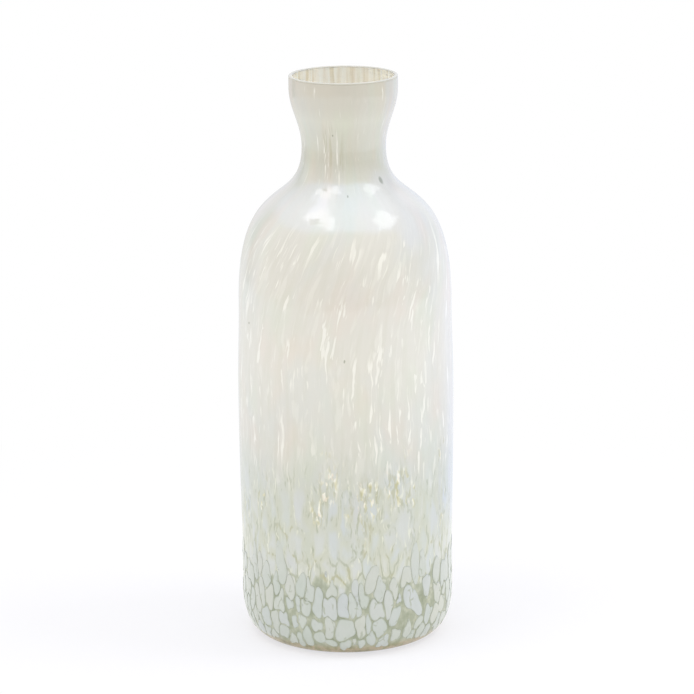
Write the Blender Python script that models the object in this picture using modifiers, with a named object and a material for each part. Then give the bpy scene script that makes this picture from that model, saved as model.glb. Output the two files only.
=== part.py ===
"""Bottle vase of blown glass, 290 mm tall: a clear, faintly olive bubble with white opal frit fused round it.

The vase stands on its resting ring. The origin is the centre of that ring, +Z is up, and sizes are in metres.
Everything is turned or laid round the Z axis. The frit is a milky skin with long clear windows on the body,
shoulder and neck, and separate chips round the heel, where it was never melted together.
"""

import math
import random

import bmesh
import bpy
from mathutils import Matrix, Vector

# Outline of the finished vase, over the frit, from the bottom up
REST_DIAMETER = 0.0868
SIDE_DIAMETER = 0.1088
BELLY_DIAMETER = 0.1103
SHOULDER_DIAMETER = 0.1084
NECK_DIAMETER = 0.0425
MOUTH_DIAMETER = 0.0550
HEEL_HEIGHT = 0.022
SIDE_HEIGHT = 0.108
UPPER_SIDE_HEIGHT = 0.045
SHOULDER_HEIGHT = 0.079
FLARE_HEIGHT = 0.030
LIP_HEIGHT = 0.006

# How long each curve keeps upright at its two ends, as a share of its height
SIDE_EASE = 0.4
SHOULDER_FULLNESS = 0.856
NECK_SWEEP = 0.426
FLARE_EASE = 0.38

# Thickness of the clear glass
BODY_WALL = 0.0030
NECK_WALL = 0.0022
LIP_WALL = 0.0015
FLOOR_THICKNESS = 0.0055
PUSH_UP = 0.0025
REST_WIDTH = 0.0040

# Frit, and the seam that keeps it a solid of its own
FRIT_THICKNESS = 0.0008
SEAM = 0.0003
BARE_LIP = 0.0015

# Chips round the heel
CHIP_ROWS = 2
CHIPS_IN_ROW = 27
FIRST_CHIP_RISE = 0.0060
CHIP_HEIGHT = 0.0140
CHIP_GAP = 0.0012
CHIP_SCATTER = 0.26
CHIP_CORNER_CUT = 0.28

# Windows in the skin: short ones low down, the first row open at the skin's lower edge,
# long leaning ones above, and a few on the neck
LOW_WINDOW_LENGTH = 0.0115
LOW_WINDOW_WIDTH = 0.0036
LOW_WINDOWS_IN_ROW = 15
LOW_WINDOW_ROWS = 4
HIGH_WINDOW_LENGTH = 0.0180
HIGH_WINDOW_WIDTH = 0.0024
HIGH_WINDOWS_IN_ROW = 8
HIGH_WINDOW_ROWS = 7
NECK_WINDOW_LENGTH = 0.0080
NECK_WINDOW_WIDTH = 0.0016
NECK_WINDOWS_IN_ROW = 5
WINDOW_SPACING = 0.0030
WINDOW_LEAN = math.radians(22)
WINDOW_SIDES = 6
WINDOW_CUT_DEPTH = 0.009

# How far windows are scattered, as shares of their pitch and their length, and the smallest one's share of full size
WINDOW_SCATTER_ROUND = 0.15
WINDOW_SCATTER_UP = 0.05
SMALLEST_WINDOW = 0.75

TURNED_STEPS = 40
SEED = 7

FRIT_DEPTH = SEAM + FRIT_THICKNESS
BELLY_Z = HEEL_HEIGHT + SIDE_HEIGHT
SHOULDER_Z = BELLY_Z + UPPER_SIDE_HEIGHT
NECK_Z = SHOULDER_Z + SHOULDER_HEIGHT
FLARE_TOP_Z = NECK_Z + FLARE_HEIGHT
HEIGHT = FLARE_TOP_Z + LIP_HEIGHT


def clear_scene():
    for old in list(bpy.data.objects):
        bpy.data.objects.remove(old, do_unlink=True)


def collection(name):
    made = bpy.data.collections.new(name)
    bpy.context.scene.collection.children.link(made)
    return made


def material(name, colour, roughness, transmission):
    made = bpy.data.materials.new(name)
    made.use_nodes = True
    shader = made.node_tree.nodes["Principled BSDF"]
    shader.inputs["Base Color"].default_value = (*colour, 1)
    shader.inputs["Metallic"].default_value = 0
    shader.inputs["Roughness"].default_value = roughness
    shader.inputs["Transmission Weight"].default_value = transmission
    return made


def add_object(name, mesh, finish, where):
    mesh.materials.append(finish)
    made = bpy.data.objects.new(name, mesh)
    where.objects.link(made)
    return made


# Profiles are lists of (radius, height) points

def swept(start, end, leave_share, arrive_share, count):
    """Points of a cubic curve that leaves start and reaches end upright, without its first point."""
    rise = Vector((0, end.y - start.y))
    leave = start + rise * leave_share
    arrive = end - rise * arrive_share
    points = []
    for step in range(1, count + 1):
        t = step / count
        rest = 1 - t
        near = start * rest**3 + leave * (3 * rest * rest * t)
        points.append(near + arrive * (3 * rest * t * t) + end * t**3)
    return points


def heel(side_radius, floor_z, count):
    """A quarter of an ellipse from the resting ring's outer edge, at floor_z, out to the upright side."""
    centre = Vector((REST_DIAMETER / 2, HEEL_HEIGHT))
    reach = side_radius - centre.x
    drop = HEEL_HEIGHT - floor_z
    points = []
    for step in range(count + 1):
        angle = math.pi / 2 * (1 - step / count)
        points.append(centre + Vector((reach * math.cos(angle), -drop * math.sin(angle))))
    return points


def wall_side(body_inset, neck_inset, mouth_inset, floor_z, top_z, counts):
    """One face of the glass from the heel to top_z, set in from the vase's outline."""
    heel_count, side_count, shoulder_count, flare_count = counts
    side = Vector((SIDE_DIAMETER / 2 - body_inset, HEEL_HEIGHT))
    belly = Vector((BELLY_DIAMETER / 2 - body_inset, BELLY_Z))
    shoulder = Vector((SHOULDER_DIAMETER / 2 - body_inset, SHOULDER_Z))
    neck = Vector((NECK_DIAMETER / 2 - neck_inset, NECK_Z))
    mouth = Vector((MOUTH_DIAMETER / 2 - mouth_inset, FLARE_TOP_Z))
    points = heel(side.x, floor_z, heel_count)
    points += swept(side, belly, SIDE_EASE, SIDE_EASE, side_count)
    points += swept(belly, shoulder, SIDE_EASE, SIDE_EASE, side_count)
    points += swept(shoulder, neck, SHOULDER_FULLNESS, NECK_SWEEP, shoulder_count)
    points += swept(neck, mouth, FLARE_EASE, FLARE_EASE, flare_count)
    return points + [Vector((mouth.x, top_z))]


def outer_side():
    """The clear glass under the frit, from the resting ring to just under the rounded lip."""
    inset = FRIT_DEPTH
    return wall_side(inset, inset, inset, 0, HEIGHT - LIP_WALL / 2, (6, 2, 9, 5))


def inner_side():
    """The inside of the glass, from the floor to just under the rounded lip."""
    body_inset = FRIT_DEPTH + BODY_WALL
    neck_inset = FRIT_DEPTH + NECK_WALL
    mouth_inset = FRIT_DEPTH + LIP_WALL
    return wall_side(body_inset, neck_inset, mouth_inset, FLOOR_THICKNESS, HEIGHT - LIP_WALL / 2, (4, 2, 7, 4))


def body_profile():
    """The whole section of the clear glass, from the inside floor over the lip and down to the push-up."""
    lip_radius = MOUTH_DIAMETER / 2 - FRIT_DEPTH - LIP_WALL / 2
    lip = []
    for share in (0.25, 0.5, 0.75):
        angle = math.pi * (1 - share)
        around = Vector((math.cos(angle), math.sin(angle)))
        lip.append(Vector((lip_radius, HEIGHT - LIP_WALL / 2)) + around * (LIP_WALL / 2))
    rest_inner = REST_DIAMETER / 2 - REST_WIDTH
    under = []
    for share in (0, 0.3, 0.6):
        under.append(Vector((rest_inner * (1 - share), PUSH_UP * math.sin(math.pi / 2 * share))))
    floor_top = Vector((0, PUSH_UP + FLOOR_THICKNESS))
    floor_mid = Vector((rest_inner * 0.5, FLOOR_THICKNESS + PUSH_UP * 0.7))
    base_top = Vector((0, PUSH_UP))
    return [floor_top, floor_mid] + inner_side() + lip + outer_side()[::-1] + under + [base_top]


def profile_mesh(name, points):
    mesh = bpy.data.meshes.new(name)
    edges = [(i, i + 1) for i in range(len(points) - 1)]
    mesh.from_pydata([(p.x, 0, p.y) for p in points], edges, [])
    return mesh


def turn(obj):
    """Spins the profile once round Z."""
    screw = obj.modifiers.new("turned", "SCREW")
    screw.axis = "Z"
    screw.steps = TURNED_STEPS
    screw.render_steps = TURNED_STEPS
    screw.use_merge_vertices = True
    screw.merge_threshold = 0.00001
    screw.use_smooth_shade = True


def thicken(obj):
    """Gives an open sheet of frit its thickness, away from the glass."""
    solidify = obj.modifiers.new("frit_thickness", "SOLIDIFY")
    solidify.thickness = FRIT_THICKNESS
    solidify.offset = 1
    solidify.use_even_offset = True


# Places on the outside of the clear glass, by the distance climbed along its profile

def normals_of(points):
    """The outward direction at each profile point, square to the line through its neighbours."""
    found = []
    for i in range(len(points)):
        run = points[min(i + 1, len(points) - 1)] - points[max(i - 1, 0)]
        found.append(Vector((run.y, -run.x)).normalized())
    return found


def climbed(points):
    lengths = [0]
    for a, b in zip(points, points[1:]):
        lengths.append(lengths[-1] + (b - a).length)
    return lengths


class GlassSide:
    """The outside of the clear glass, read by how far a point lies up its profile."""

    def __init__(self):
        self.points = outer_side()
        self.normals = normals_of(self.points)
        self.lengths = climbed(self.points)

    def at(self, rise):
        """(point, outward direction) at this distance up the profile."""
        last = len(self.points) - 2
        i = min(max(sum(length <= rise for length in self.lengths) - 1, 0), last)
        share = (rise - self.lengths[i]) / (self.lengths[i + 1] - self.lengths[i])
        point = self.points[i].lerp(self.points[i + 1], share)
        return point, self.normals[i].lerp(self.normals[i + 1], share).normalized()

    def rise_at(self, z):
        """The distance up the profile at which the glass reaches this height."""
        for i, (a, b) in enumerate(zip(self.points, self.points[1:])):
            if z <= b.y:
                break
        share = (z - a.y) / (b.y - a.y)
        return self.lengths[i] + share * (self.lengths[i + 1] - self.lengths[i])

    def sheet(self, first_rise, last_rise):
        """The profile of a sheet that lies a seam off the glass between two distances."""
        inside = [length for length in self.lengths if first_rise < length < last_rise]
        profile = []
        for rise in [first_rise] + inside + [last_rise]:
            point, normal = self.at(rise)
            profile.append(point + normal * SEAM)
        return profile


# Solids

def make_body(where, finish):
    body = add_object("clear_glass_body", profile_mesh("clear_glass_body", body_profile()), finish, where)
    turn(body)
    return body


def make_skin(where, cutters_in, side, first_rise, finish):
    """The milky sheet from just over the chips to just under the lip, with its windows cut through."""
    last_rise = side.rise_at(HEIGHT - BARE_LIP)
    profile = side.sheet(first_rise, last_rise)
    skin = add_object("opal_frit_skin", profile_mesh("opal_frit_skin", profile[::-1]), finish, where)
    turn(skin)
    thicken(skin)
    cut = skin.modifiers.new("windows", "BOOLEAN")
    cut.operation = "DIFFERENCE"
    cut.solver = "EXACT"
    cut.object = make_window_cutters(cutters_in, side, first_rise)
    return skin


def window_rows(side, first_rise):
    """(distance up the profile, count, length, width, lean) of each row of windows."""
    rows = []
    rise = first_rise
    for _ in range(LOW_WINDOW_ROWS):
        rows.append((rise, LOW_WINDOWS_IN_ROW, LOW_WINDOW_LENGTH, LOW_WINDOW_WIDTH, 0))
        rise += LOW_WINDOW_LENGTH + WINDOW_SPACING
    high_start = rise + (HIGH_WINDOW_LENGTH - LOW_WINDOW_LENGTH) / 2
    high_end = side.rise_at(SHOULDER_Z + SHOULDER_HEIGHT / 2)
    for row in range(HIGH_WINDOW_ROWS):
        share = row / (HIGH_WINDOW_ROWS - 1)
        rise = high_start + (high_end - high_start) * share
        rows.append((rise, HIGH_WINDOWS_IN_ROW, HIGH_WINDOW_LENGTH, HIGH_WINDOW_WIDTH, WINDOW_LEAN * share))
    for z in (NECK_Z, NECK_Z + FLARE_HEIGHT / 2):
        rows.append((side.rise_at(z), NECK_WINDOWS_IN_ROW, NECK_WINDOW_LENGTH, NECK_WINDOW_WIDTH, 0))
    return rows


def make_window_cutters(where, side, first_rise):
    """Every window as a prism that stands square through the skin, all in one object."""
    drawn = random.Random(SEED)
    shape = bmesh.new()
    for number, (row_rise, count, length, width, lean) in enumerate(window_rows(side, first_rise)):
        for place in range(count):
            scatter = drawn.uniform(-WINDOW_SCATTER_ROUND, WINDOW_SCATTER_ROUND)
            turned = (place + number / 2 + scatter) / count * math.tau
            size = drawn.uniform(SMALLEST_WINDOW, 1)
            rise = row_rise + drawn.uniform(-WINDOW_SCATTER_UP, WINDOW_SCATTER_UP) * length
            point, normal = side.at(rise)
            across = Matrix.Diagonal((width * size, length * size, WINDOW_CUT_DEPTH, 1))
            upright = Matrix.Rotation(math.pi / 2, 4, "X") @ Matrix.Rotation(-lean, 4, "Z")
            tilt = Matrix.Rotation(math.atan2(normal.y, normal.x), 4, "X")
            spin = Matrix.Rotation(turned, 4, "Z")
            move = Matrix.Translation((0, -point.x, point.y))
            bmesh.ops.create_cone(
                shape,
                cap_ends=True,
                segments=WINDOW_SIDES,
                radius1=0.5,
                radius2=0.5,
                depth=1,
                matrix=spin @ move @ tilt @ upright @ across,
            )
    bmesh.ops.recalc_face_normals(shape, faces=shape.faces)
    mesh = bpy.data.meshes.new("window_cutters")
    shape.to_mesh(mesh)
    shape.free()
    cutters = bpy.data.objects.new("window_cutters", mesh)
    where.objects.link(cutters)
    cutters.hide_render = True
    cutters.display_type = "WIRE"
    return cutters


# Chips: each is the land nearest to its own seed point, drawn in by half a gap, with its corners cut

def clipped(outline, point, outward):
    """The part of a convex outline that lies behind the line through point."""
    kept = []
    for here, after in zip(outline, outline[1:] + outline[:1]):
        before_line = (here - point).dot(outward)
        after_line = (after - point).dot(outward)
        if before_line <= 0:
            kept.append(here)
        if before_line * after_line < 0:
            kept.append(here.lerp(after, before_line / (before_line - after_line)))
    return kept


def corners_cut(outline):
    cut = []
    for here, after in zip(outline, outline[1:] + outline[:1]):
        cut.append(here.lerp(after, CHIP_CORNER_CUT))
        cut.append(here.lerp(after, 1 - CHIP_CORNER_CUT))
    return cut


def chip_seeds(pitch):
    """Scattered seed points (distance round, distance up), in staggered rows."""
    drawn = random.Random(SEED)
    seeds = []
    for row in range(CHIP_ROWS):
        for place in range(CHIPS_IN_ROW):
            along = (place + row / 2 + drawn.uniform(-CHIP_SCATTER, CHIP_SCATTER)) * pitch
            up = FIRST_CHIP_RISE + (row + 0.5 + drawn.uniform(-CHIP_SCATTER, CHIP_SCATTER)) * CHIP_HEIGHT
            seeds.append(Vector((along, up)))
    return seeds


def chip_outlines(round_length):
    """The flat outline of each chip, as (distance round, distance up) points."""
    pitch = round_length / CHIPS_IN_ROW
    seeds = chip_seeds(pitch)
    top = FIRST_CHIP_RISE + CHIP_ROWS * CHIP_HEIGHT
    outlines = []
    for seed in seeds:
        left = seed.x - 2 * pitch
        right = seed.x + 2 * pitch
        outline = [Vector((left, FIRST_CHIP_RISE)), Vector((right, FIRST_CHIP_RISE))]
        outline += [Vector((right, top)), Vector((left, top))]
        for other in seeds:
            if other is seed:
                continue
            wrapped = Vector((other.x - round_length * round((other.x - seed.x) / round_length), other.y))
            away = (wrapped - seed).normalized()
            outline = clipped(outline, (seed + wrapped) / 2 - away * (CHIP_GAP / 2), away)
        outlines.append(corners_cut(outline))
    return outlines


def make_chip(name, where, side, outline, round_length, finish):
    """One chip: its outline laid on the glass, with a ring and a point inside so that it follows the curve."""

    def laid(flat):
        point, normal = side.at(flat.y)
        place = point + normal * SEAM
        angle = flat.x / round_length * math.tau
        return Vector((place.x * math.cos(angle), place.x * math.sin(angle), place.y))

    middle = sum(outline, Vector((0, 0))) / len(outline)
    shape = bmesh.new()
    rim = [shape.verts.new(laid(flat)) for flat in outline]
    ring = [shape.verts.new(laid(flat.lerp(middle, 0.5))) for flat in outline]
    centre = shape.verts.new(laid(middle))
    for i in range(len(outline)):
        after = (i + 1) % len(outline)
        shape.faces.new((rim[i], rim[after], ring[after], ring[i]))
        shape.faces.new((ring[i], ring[after], centre))
    mesh = bpy.data.meshes.new(name)
    shape.to_mesh(mesh)
    shape.free()
    mesh.shade_smooth()
    chip = add_object(name, mesh, finish, where)
    thicken(chip)
    return chip


def make_chips(where, side, finish):
    round_length = math.tau * (SIDE_DIAMETER / 2 - FRIT_DEPTH)
    for number, outline in enumerate(chip_outlines(round_length), start=1):
        make_chip(f"frit_chip_{number:02d}", where, side, outline, round_length, finish)


def main():
    clear_scene()
    parts = collection("bottle_vase")
    cutters = collection("cutters")
    olive_glass = material("clear_olive_glass", (0.72, 0.73, 0.58), 0.03, 0.9)
    milky_glass = material("milky_frit", (0.87, 0.86, 0.81), 0.12, 0.15)
    white_chip = material("white_frit_chip", (0.78, 0.83, 0.82), 0.12, 0.05)
    side = GlassSide()
    make_body(parts, olive_glass)
    skin_start = FIRST_CHIP_RISE + CHIP_ROWS * CHIP_HEIGHT + CHIP_GAP
    make_skin(parts, cutters, side, skin_start, milky_glass)
    make_chips(parts, side, white_chip)


main()
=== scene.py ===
"""Looks of the blown-glass bottle vase: a clear olive wall, a milky frit skin and chips round the heel.

Everything is turned or laid round the Z axis, in metres. The outline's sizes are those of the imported
solids, and every piece of glass stays inside that outline.
"""

import math
import random

import bpy
import numpy as np
from mathutils import Matrix, Vector


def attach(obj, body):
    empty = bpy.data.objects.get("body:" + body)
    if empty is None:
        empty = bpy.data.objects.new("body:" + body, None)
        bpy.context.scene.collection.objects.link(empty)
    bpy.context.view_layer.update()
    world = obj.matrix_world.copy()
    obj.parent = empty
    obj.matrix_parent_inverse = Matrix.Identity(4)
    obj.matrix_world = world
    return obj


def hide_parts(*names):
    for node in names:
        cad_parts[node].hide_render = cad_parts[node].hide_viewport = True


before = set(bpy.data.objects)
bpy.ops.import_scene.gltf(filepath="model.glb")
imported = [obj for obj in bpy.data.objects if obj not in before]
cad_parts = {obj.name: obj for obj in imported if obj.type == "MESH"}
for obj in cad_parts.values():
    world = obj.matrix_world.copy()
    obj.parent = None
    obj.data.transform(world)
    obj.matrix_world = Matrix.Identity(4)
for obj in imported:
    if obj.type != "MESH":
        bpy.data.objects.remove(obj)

SEED = 11
MM = 0.001

# Outline over the frit: radii, and heights from the resting ring up
REST_RADIUS = 43.4 * MM
SIDE_RADIUS = 54.4 * MM
BELLY_RADIUS = 55.15 * MM
SHOULDER_RADIUS = 54.2 * MM
NECK_RADIUS = 21.25 * MM
MOUTH_RADIUS = 27.5 * MM
HEEL_HEIGHT = 22 * MM
SIDE_HEIGHT = 108 * MM
UPPER_SIDE_HEIGHT = 45 * MM
SHOULDER_HEIGHT = 79 * MM
FLARE_HEIGHT = 30 * MM
LIP_HEIGHT = 6 * MM
BELLY_Z = HEEL_HEIGHT + SIDE_HEIGHT
SHOULDER_Z = BELLY_Z + UPPER_SIDE_HEIGHT
NECK_Z = SHOULDER_Z + SHOULDER_HEIGHT
FLARE_TOP_Z = NECK_Z + FLARE_HEIGHT
HEIGHT = FLARE_TOP_Z + LIP_HEIGHT

# How long each curve keeps upright at its two ends, as a share of its height
SIDE_EASE = 0.4
SHOULDER_FULLNESS = 0.856
NECK_SWEEP = 0.426
FLARE_EASE = 0.38

# Glass wall, from the outline in to its inner face
BODY_INNER_DEPTH = 4.1 * MM
NECK_INNER_DEPTH = 3.3 * MM
MOUTH_INNER_DEPTH = 2.0 * MM
FLOOR_Z = 5.5 * MM
PUSH_UP = 2.5 * MM
REST_WIDTH = 4.0 * MM

# Depths under the outline: of the glass, bare at the heel and covered above, and of the skin's two faces
BARE_GLASS_DEPTH = 0.20 * MM
COVERED_GLASS_DEPTH = 0.42 * MM
SKIN_UNDER_CHIPS_DEPTH = 0.24 * MM
SKIN_TOP_DEPTH = 0.06 * MM
SKIN_INNER_DEPTH = 0.50 * MM
SKIN_START_Z = 29 * MM
SKIN_RISES_Z = (46 * MM, 62 * MM)
GLASS_DROPS_Z = (30 * MM, 35 * MM)
BARE_LIP = 0.8 * MM
LIP_FOOT_RISE = 0.1 * MM
LIP_DEPTH = 0.1 * MM
LIP_OUTER_ROUNDING = (0.55 * MM, 0.55 * MM)
LIP_INNER_ROUNDING = (0.7 * MM, 0.9 * MM)

# Chips round the heel: rows grow taller upwards
CHIPS_ROUND = 58
CHIP_ROWS = 4
CHIPS_START_RISE = 9.4 * MM
FIRST_ROW_HEIGHT = 8.0 * MM
ROW_GROWTH = 1.17
CHIP_SCATTER = 0.47
TOP_SCATTER = 0.8
CHIP_GAPS = (0.54 * MM, 0.32 * MM)
GAP_SPREAD = (0.4, 1.4)
JOINED_CHIPS = 0.10
SHRUNKEN_CHIPS = 0.16
SHRUNKEN_SIZES = (0.6, 0.85)
CHIP_BOTTOM_DEPTH = 0.30 * MM
CHIP_SIDE_DEPTH = 0.18 * MM
CHIP_EDGE_DEPTH = 0.07 * MM
CHIP_EDGE_WIDTH = 0.22 * MM

# How the gap round a chip swings: waves in a turn, and share of the gap
GAP_SWINGS = ((1, 0.8), (3, 0.45))
LEAST_SWING = 0.12

# The chips' plane, in pitches round and rows up: how far to look, and how finely
CHIP_DIRECTIONS = 36
CHIP_ANGLES = np.arange(CHIP_DIRECTIONS) * math.tau / CHIP_DIRECTIONS
CHIP_WAYS = np.stack([np.cos(CHIP_ANGLES), np.sin(CHIP_ANGLES)], axis=1)
NEIGHBOUR_REACH = 3.2
REACH_LIMIT = 1.9
REACH_STEP = 0.02
LEAST_REACH = 0.12
CORNER_PASSES = 2

# Waves that bend this plane: how many round the vase, their climb, start and share
CHIP_WOBBLE = 0.12
SIDE_WAVES = ((31, 2.3, 1.1, 1), (57, -4.1, 0, 0.6))
LIFT_WAVES = ((37, -2.9, 0.4, 1), (49, 3.7, 2.0, 0.6))

# A chip's rings, from below to the top: share of its reach, edge widths in, depth, and nearness to the top
CHIP_SECTION = (
    (0.5, 0, CHIP_BOTTOM_DEPTH, 0),
    (1, 1, CHIP_BOTTOM_DEPTH, 0),
    (1, 0, CHIP_SIDE_DEPTH, 0),
    (1, 1, CHIP_EDGE_DEPTH, 0.2),
    (1, 2.5, CHIP_EDGE_DEPTH * 0.6, 0.5),
    (1, 5, CHIP_EDGE_DEPTH * 0.25, 0.85),
    (0.4, 0, 0, 1),
)
LEAST_RING = 0.25

# Spots where the heel shows more bare glass: degrees round from the front, rise up the profile, reach
BARE_SPOTS = (
    (23.0, 15 * MM, 7.0 * MM), (-128.0, 19 * MM, 7.0 * MM), (141.0, 13 * MM, 8.0 * MM),
)
BARE_SHRINKING = 0.55

# Streaks lean with the twist of the blowing iron, more towards the shoulder
TWIST_START_Z = 138 * MM
TWIST_END_Z = 222 * MM
TWIST_LEAN = math.tan(math.radians(27))

# Steps round the vase, and along its curves
TURNED_STEPS = 224
SIDE_STEPS = 24
UPPER_SIDE_STEPS = 12
SHOULDER_STEPS = 56
GLASS_STEPS = 170
SKIN_STEPS = 190
SMALL_STEPS = 8
SHARP_ANGLE = math.radians(50)

# Camera of the photograph, which is 694 pixels wide
IMAGE_WIDTH = 694
FOCAL_PIXELS = 3236
SENSOR_WIDTH = 36
CAMERA_PLACE = (0, -1.6, 0.561)
CAMERA_DOWN = math.radians(14.43)
CAMERA_YAW = math.radians(-0.028)
CAMERA_ROLL = math.radians(-0.498)


def linear(red, green, blue):
    """A display colour from 0 to 255 as linear light."""
    values = []
    for shown in (red, green, blue):
        share = shown / 255
        values.append(share / 12.92 if share <= 0.04045 else ((share + 0.055) / 1.055) ** 2.4)
    return tuple(values)


def casts(*rows):
    """Colour stops, from rows of a place and a display colour."""
    return [(place, linear(*shown)) for place, *shown in rows]


def smooth_step(low, high, value):
    share = np.clip((value - low) / (high - low), 0, 1)
    return share * share * (3 - 2 * share)


# Outline

def swept(start, end, leave_share, arrive_share, count):
    """Points of a cubic curve that leaves start and reaches end upright, without its first point."""
    rise = Vector((0, end.y - start.y))
    leave = start + rise * leave_share
    arrive = end - rise * arrive_share
    points = []
    for step in range(1, count + 1):
        t = step / count
        rest = 1 - t
        near = start * rest**3 + leave * (3 * rest * rest * t)
        points.append(near + arrive * (3 * rest * t * t) + end * t**3)
    return points


def quarter(centre, across, up, start, count):
    """A quarter of an ellipse, run clockwise from an angle."""
    angles = [start - math.pi / 2 * step / count for step in range(count + 1)]
    return [centre + Vector((across * math.cos(angle), up * math.sin(angle))) for angle in angles]


def wall_side(body_inset, neck_inset, mouth_inset, floor_z, top_z):
    """One face of the glass from the heel to top_z, set in from the vase's outline."""
    side = Vector((SIDE_RADIUS - body_inset, HEEL_HEIGHT))
    belly = Vector((BELLY_RADIUS - body_inset, BELLY_Z))
    shoulder = Vector((SHOULDER_RADIUS - body_inset, SHOULDER_Z))
    neck = Vector((NECK_RADIUS - neck_inset, NECK_Z))
    mouth = Vector((MOUTH_RADIUS - mouth_inset, FLARE_TOP_Z))
    heel = Vector((REST_RADIUS, HEEL_HEIGHT))
    points = quarter(heel, side.x - heel.x, floor_z - HEEL_HEIGHT, math.pi / 2, SIDE_STEPS)
    points += swept(side, belly, SIDE_EASE, SIDE_EASE, SIDE_STEPS)
    points += swept(belly, shoulder, SIDE_EASE, SIDE_EASE, UPPER_SIDE_STEPS)
    points += swept(shoulder, neck, SHOULDER_FULLNESS, NECK_SWEEP, SHOULDER_STEPS)
    points += swept(neck, mouth, FLARE_EASE, FLARE_EASE, SIDE_STEPS)
    return points + [Vector((mouth.x, top_z))]


class Outline:
    """The vase's outside, read by the distance climbed along its profile from the resting ring."""

    def __init__(self):
        points = np.array([tuple(p) for p in wall_side(0, 0, 0, 0, HEIGHT)])
        runs = np.gradient(points, axis=0)
        runs /= np.linalg.norm(runs, axis=1)[:, None]
        self.radii, self.heights = points.T
        self.outward = (runs[:, 1], -runs[:, 0])
        steps = np.linalg.norm(np.diff(points, axis=0), axis=1)
        self.rises = np.concatenate([[0], np.cumsum(steps)])

    def at(self, rise, depth):
        """(radius, height) this far up, set in by a depth."""
        tracks = (self.radii, self.heights, *self.outward)
        radius, height, out_r, out_z = [np.interp(rise, self.rises, track) for track in tracks]
        return radius - depth * out_r, height - depth * out_z

    def rise_at(self, z):
        return np.interp(z, self.heights, self.rises)

    def sheet(self, first_z, last_z, depth_at, count):
        """Profile points between two heights, at the depth that depth_at gives for each height."""
        rises = np.linspace(self.rise_at(first_z), self.rise_at(last_z), count)
        heights = np.interp(rises, self.rises, self.heights)
        radii, tops = self.at(rises, depth_at(heights))
        return [Vector(pair) for pair in zip(radii, tops)]


# Meshes

def new_object(name, data):
    made = bpy.data.objects.new(name, data)
    bpy.context.scene.collection.objects.link(made)
    return made


def add_mesh(name, vertices, faces, materials):
    mesh = bpy.data.meshes.new(name)
    mesh.from_pydata(vertices, [], faces)
    mesh.validate()
    mesh.shade_smooth()
    for finish in materials:
        mesh.materials.append(finish)
    made = new_object(name, mesh)
    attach(made, "root")
    return made


def turned(name, profile, looped, materials):
    """A profile spun round Z, which closes on itself if it is looped and else ends on the axis."""
    ring = profile if looped else profile[1:-1]
    count = len(ring)
    vertices = []
    columns = []
    for step in range(TURNED_STEPS):
        angle = math.tau * step / TURNED_STEPS
        vertices += [(p.x * math.cos(angle), p.x * math.sin(angle), p.y) for p in ring]
        columns.append((step * count, (step + 1) % TURNED_STEPS * count))
    faces = []
    for here, after in columns:
        for i in range(count if looped else count - 1):
            up = (i + 1) % count
            faces.append((here + i, after + i, after + up, here + up))
    if not looped:
        first = len(vertices)
        vertices += [(0, 0, profile[0].y), (0, 0, profile[-1].y)]
        for here, after in columns:
            faces.append((first, after, here))
            faces.append((first + 1, here + count - 1, after + count - 1))
    return add_mesh(name, vertices, faces, materials)


def twist_at(heights):
    """How far round, in radians, the streaks have been carried at each height."""
    span = TWIST_END_Z - TWIST_START_Z
    climbed = np.clip(heights - TWIST_START_Z, 0, span)
    return TWIST_LEAN * climbed**2 / (2 * span) / SIDE_RADIUS


def mark_places(obj):
    """Stores each point's place on an untwisted drum of the body's radius, for the streaks."""
    mesh = obj.data
    points = np.empty(len(mesh.vertices) * 3)
    mesh.vertices.foreach_get("co", points)
    points = points.reshape(-1, 3)
    angles = np.arctan2(points[:, 1], points[:, 0]) - twist_at(points[:, 2])
    drum = np.stack([SIDE_RADIUS * np.cos(angles), SIDE_RADIUS * np.sin(angles), points[:, 2]], axis=1)
    attribute = mesh.attributes.new("place", "FLOAT_VECTOR", "POINT")
    attribute.data.foreach_set("vector", drum.ravel())


def rounding(corner, reach, start):
    """A corner at the top of the wall, rounded clockwise from an angle."""
    across, down = reach
    side = 1 if start == math.pi else -1
    return quarter(corner + Vector((side * across, -down)), across, down, start, SMALL_STEPS)


def eased_depth(low, high, band):
    """A depth that goes smoothly from low to high over a band of heights."""
    return lambda heights: low + (high - low) * smooth_step(*band, heights)


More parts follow.
